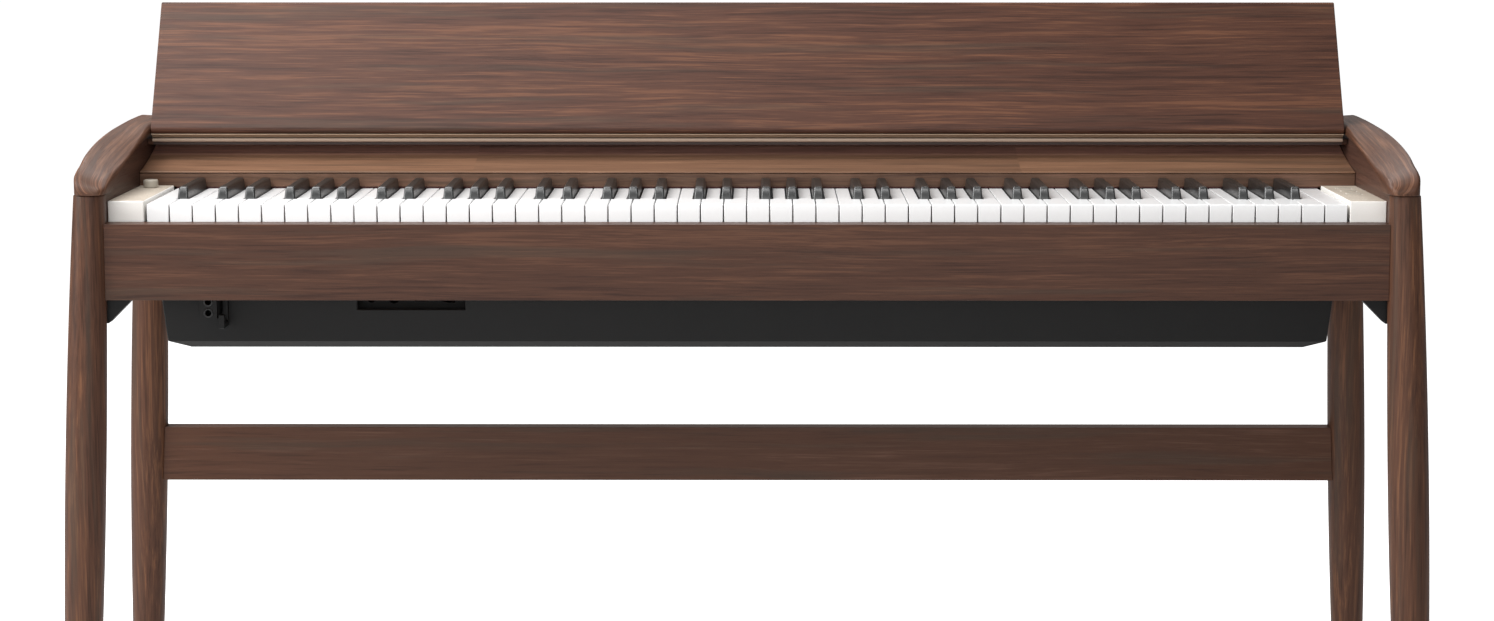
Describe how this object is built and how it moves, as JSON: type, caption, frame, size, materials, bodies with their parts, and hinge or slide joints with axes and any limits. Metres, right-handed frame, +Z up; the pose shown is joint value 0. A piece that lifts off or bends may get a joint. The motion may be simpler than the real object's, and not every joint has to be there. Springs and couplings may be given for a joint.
{
  "type": "digital piano on stand",
  "caption": "Digital piano on a walnut four-legged stand, with curved arms, a folding lid standing open, end blocks with a knob and buttons, and a speaker tray below.",
  "frame": {"origin": "on the floor under the middle of the piano", "axes": "+X to the player's right along the keyboard, +Y away from the player, +Z up"},
  "size_m": [1.413, 0.3454, 0.906],
  "materials": {
    "walnut": "satin, straight grain",
    "walnut_light": "satin, straight grain",
    "white_key_plastic": "semi-gloss",
    "black_key_plastic": "fine matt grain",
    "cream_plastic": "fine matt",
    "grey_plastic": "satin",
    "charcoal_plastic": "matt",
    "black_steel": "powder coat",
    "bronze": "satin bronze",
    "zinc_steel": "zinc plated",
    "felt": "dense felt",
    "nylon": "moulded nylon",
    "circuit_board": "solder mask"
  },
  "bodies": {
    "cabinet": {"arm_left": "walnut", "arm_right": "walnut", "back_panel": "walnut", "connector_panel": "charcoal_plastic", "corner_bracket_left": "black_steel", "corner_bracket_right": "black_steel", "end_block_left": "cream_plastic", "end_block_right": "cream_plastic", "front_rail": "walnut", "glide_front_left": "nylon", "glide_front_right": "nylon", "glide_rear_left": "nylon", "glide_rear_right": "nylon", "headphone_box": "charcoal_plastic", "headphone_hook": "black_steel", "key_chassis": "zinc_steel", "key_sensor_board": "circuit_board", "keybed": "walnut_light", "leg_front_left": "walnut", "leg_front_right": "walnut", "leg_rear_left": "walnut", "leg_rear_right": "walnut", "lid_hinge": "bronze", "lid_stop_left": "black_steel", "lid_stop_right": "black_steel", "main_board": "circuit_board", "nameboard": "walnut", "nameboard_felt": "felt", "rear_stretcher": "walnut", "rear_top_board": "walnut", "side_panel_left": "walnut", "side_panel_right": "walnut", "sloped_panel": "walnut_light", "speaker_left": "black_steel", "speaker_right": "black_steel", "speaker_tray": "charcoal_plastic"},
    "key_C4": {"key_C4": "white_key_plastic"},
    "key_C_sharp4": {"key_C_sharp4": "black_key_plastic"},
    "key_D4": {"key_D4": "white_key_plastic"},
    "key_D_sharp4": {"key_D_sharp4": "black_key_plastic"},
    "key_E4": {"key_E4": "white_key_plastic"},
    "key_F4": {"key_F4": "white_key_plastic"},
    "key_F_sharp4": {"key_F_sharp4": "black_key_plastic"},
    "key_G4": {"key_G4": "white_key_plastic"},
    "key_G_sharp4": {"key_G_sharp4": "black_key_plastic"},
    "key_A4": {"key_A4": "white_key_plastic"},
    "key_A_sharp4": {"key_A_sharp4": "black_key_plastic"},
    "key_B4": {"key_B4": "white_key_plastic"},
    "white_keys_bass": {"white_keys_bass": "white_key_plastic"},
    "black_keys_bass": {"black_keys_bass": "black_key_plastic"},
    "white_keys_treble": {"white_keys_treble": "white_key_plastic"},
    "black_keys_treble": {"black_keys_treble": "black_key_plastic"},
    "lid": {"lid_panel": "walnut", "lid_hinge_leaf": "bronze", "flap_hinge": "bronze"},
    "flap": {"lid_flap": "walnut"},
    "volume_knob": {"volume_knob": "grey_plastic"},
    "power_button": {"power_button": "grey_plastic"},
    "sound_button": {"sound_button": "grey_plastic"},
    "metronome_button": {"metronome_button": "grey_plastic"}
  },
  "joints": [
    {"name": "key_C4_press", "type": "hinge", "parent": "cabinet", "child": "key_C4", "pos_m": [0, 0.10425, 0.7], "axis": [1, 0, 0], "range_deg": [0, 2.5], "stiffness_Nm_per_rad": 2.5, "springref_deg": -4.58},
    {"name": "key_C_sharp4_press", "type": "hinge", "parent": "cabinet", "child": "key_C_sharp4", "pos_m": [0, 0.10425, 0.7], "axis": [1, 0, 0], "range_deg": [0, 3.2], "stiffness_Nm_per_rad": 2, "springref_deg": -4.58},
    {"name": "key_D4_press", "type": "hinge", "parent": "cabinet", "child": "key_D4", "pos_m": [0, 0.10425, 0.7], "axis": [1, 0, 0], "range_deg": [0, 2.5], "stiffness_Nm_per_rad": 2.5, "springref_deg": -4.58},
    {"name": "key_D_sharp4_press", "type": "hinge", "parent": "cabinet", "child": "key_D_sharp4", "pos_m": [0, 0.10425, 0.7], "axis": [1, 0, 0], "range_deg": [0, 3.2], "stiffness_Nm_per_rad": 2, "springref_deg": -4.58},
    {"name": "key_E4_press", "type": "hinge", "parent": "cabinet", "child": "key_E4", "pos_m": [0, 0.10425, 0.7], "axis": [1, 0, 0], "range_deg": [0, 2.5], "stiffness_Nm_per_rad": 2.5, "springref_deg": -4.58},
    {"name": "key_F4_press", "type": "hinge", "parent": "cabinet", "child": "key_F4", "pos_m": [0, 0.10425, 0.7], "axis": [1, 0, 0], "range_deg": [0, 2.5], "stiffness_Nm_per_rad": 2.5, "springref_deg": -4.58},
    {"name": "key_F_sharp4_press", "type": "hinge", "parent": "cabinet", "child": "key_F_sharp4", "pos_m": [0, 0.10425, 0.7], "axis": [1, 0, 0], "range_deg": [0, 3.2], "stiffness_Nm_per_rad": 2, "springref_deg": -4.58},
    {"name": "key_G4_press", "type": "hinge", "parent": "cabinet", "child": "key_G4", "pos_m": [0, 0.10425, 0.7], "axis": [1, 0, 0], "range_deg": [0, 2.5], "stiffness_Nm_per_rad": 2.5, "springref_deg": -4.58},
    {"name": "key_G_sharp4_press", "type": "hinge", "parent": "cabinet", "child": "key_G_sharp4", "pos_m": [0, 0.10425, 0.7], "axis": [1, 0, 0], "range_deg": [0, 3.2], "stiffness_Nm_per_rad": 2, "springref_deg": -4.58},
    {"name": "key_A4_press", "type": "hinge", "parent": "cabinet", "child": "key_A4", "pos_m": [0, 0.10425, 0.7], "axis": [1, 0, 0], "range_deg": [0, 2.5], "stiffness_Nm_per_rad": 2.5, "springref_deg": -4.58},
    {"name": "key_A_sharp4_press", "type": "hinge", "parent": "cabinet", "child": "key_A_sharp4", "pos_m": [0, 0.10425, 0.7], "axis": [1, 0, 0], "range_deg": [0, 3.2], "stiffness_Nm_per_rad": 2, "springref_deg": -4.58},
    {"name": "key_B4_press", "type": "hinge", "parent": "cabinet", "child": "key_B4", "pos_m": [0, 0.10425, 0.7], "axis": [1, 0, 0], "range_deg": [0, 2.5], "stiffness_Nm_per_rad": 2.5, "springref_deg": -4.58},
    {"name": "white_keys_bass_press", "type": "hinge", "parent": "cabinet", "child": "white_keys_bass", "pos_m": [0, 0.10425, 0.7], "axis": [1, 0, 0], "range_deg": [0, 2.5], "stiffness_Nm_per_rad": 57.5, "springref_deg": -4.58},
    {"name": "black_keys_bass_press", "type": "hinge", "parent": "cabinet", "child": "black_keys_bass", "pos_m": [0, 0.10425, 0.7], "axis": [1, 0, 0], "range_deg": [0, 3.2], "stiffness_Nm_per_rad": 32, "springref_deg": -4.58},
    {"name": "white_keys_treble_press", "type": "hinge", "parent": "cabinet", "child": "white_keys_treble", "pos_m": [0, 0.10425, 0.7], "axis": [1, 0, 0], "range_deg": [0, 2.5], "stiffness_Nm_per_rad": 55, "springref_deg": -4.58},
    {"name": "black_keys_treble_press", "type": "hinge", "parent": "cabinet", "child": "black_keys_treble", "pos_m": [0, 0.10425, 0.7], "axis": [1, 0, 0], "range_deg": [0, 3.2], "stiffness_Nm_per_rad": 30, "springref_deg": -4.58},
    {"name": "lid_fold", "type": "hinge", "parent": "cabinet", "child": "lid", "pos_m": [0, 0.06785, 0.7603], "axis": [1, 0, 0], "range_deg": [0, 123.5]},
    {"name": "flap_fold", "type": "hinge", "parent": "lid", "child": "flap", "pos_m": [0, 0.15048, 0.90026], "axis": [1, 0, 0], "range_deg": [0, 190]},
    {"name": "volume_turn", "type": "hinge", "parent": "cabinet", "child": "volume_knob", "pos_m": [-0.63365, 0.00425, 0.7194], "axis": [0, 0, 1], "range_deg": [-150, 150]},
    {"name": "power_button_press", "type": "slide", "parent": "cabinet", "child": "power_button", "axis": [0, 0, -1], "range_m": [0, 0.0008], "stiffness_N_per_m": 600, "springref_m": -0.001},
    {"name": "sound_button_press", "type": "slide", "parent": "cabinet", "child": "sound_button", "axis": [0, 0, -1], "range_m": [0, 0.0008], "stiffness_N_per_m": 600, "springref_m": -0.001},
    {"name": "metronome_button_press", "type": "slide", "parent": "cabinet", "child": "metronome_button", "axis": [0, 0, -1], "range_m": [0, 0.0008], "stiffness_N_per_m": 600, "springref_m": -0.001}
  ]
}
